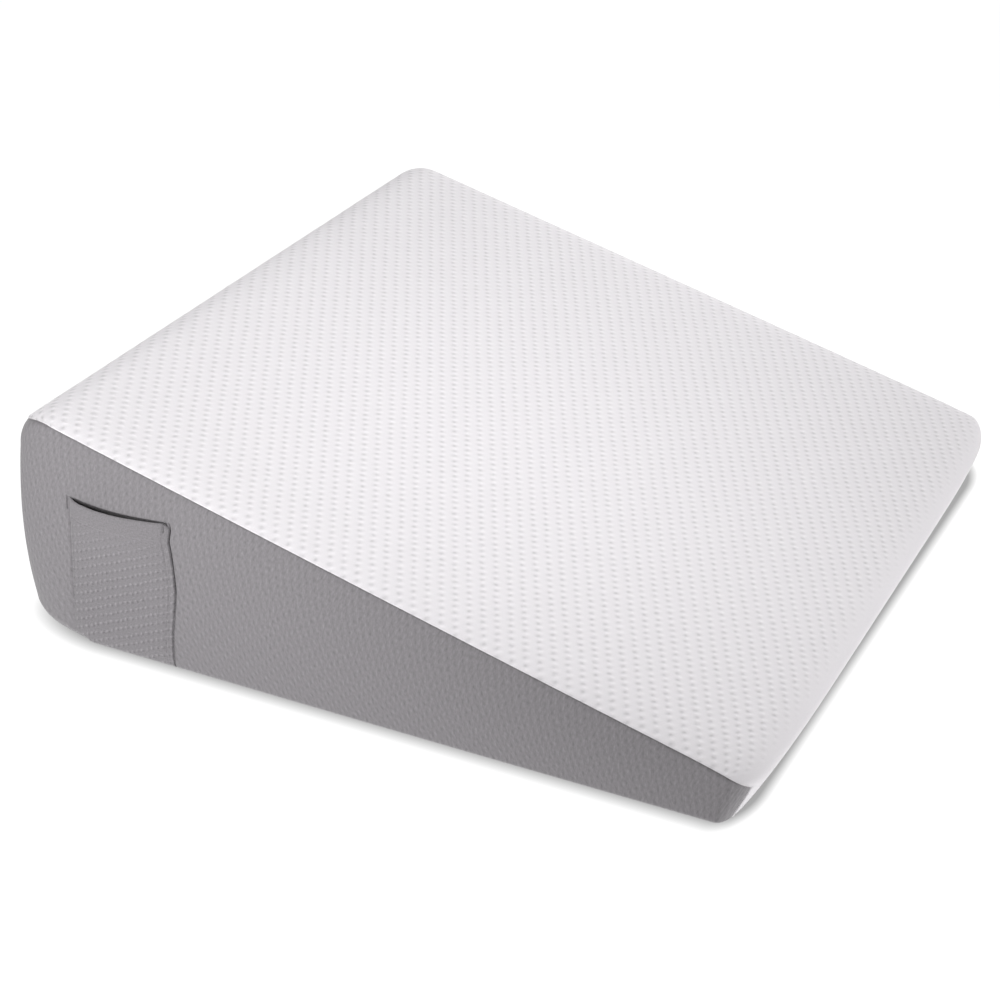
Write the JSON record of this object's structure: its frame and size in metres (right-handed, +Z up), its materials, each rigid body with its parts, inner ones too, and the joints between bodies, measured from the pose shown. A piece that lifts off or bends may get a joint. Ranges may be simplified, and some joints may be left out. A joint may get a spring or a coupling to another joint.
{
  "type": "wedge pillow",
  "caption": "Firm wedge pillow in a fitted knit cover: white slope and nose, grey side panels, and a patch pocket with a gaping mouth by the tall end.",
  "frame": {"origin": "middle of the overall outline, on the surface that the pillow rests on", "axes": "+X towards the low front edge, -Y towards the side with the pocket, +Z up from the base"},
  "size_m": [0.562, 0.6262, 0.1731],
  "materials": {
    "white_knit": "matt raised-dot knit",
    "grey_knit": "matt raised-dash knit"
  },
  "bodies": {
    "root": {"filled_body": "white_knit", "side_panel_pocket": "grey_knit", "side_panel_plain": "grey_knit", "back_panel": "grey_knit", "base_panel": "grey_knit", "pocket": "grey_knit"}
  },
  "joints": []
}
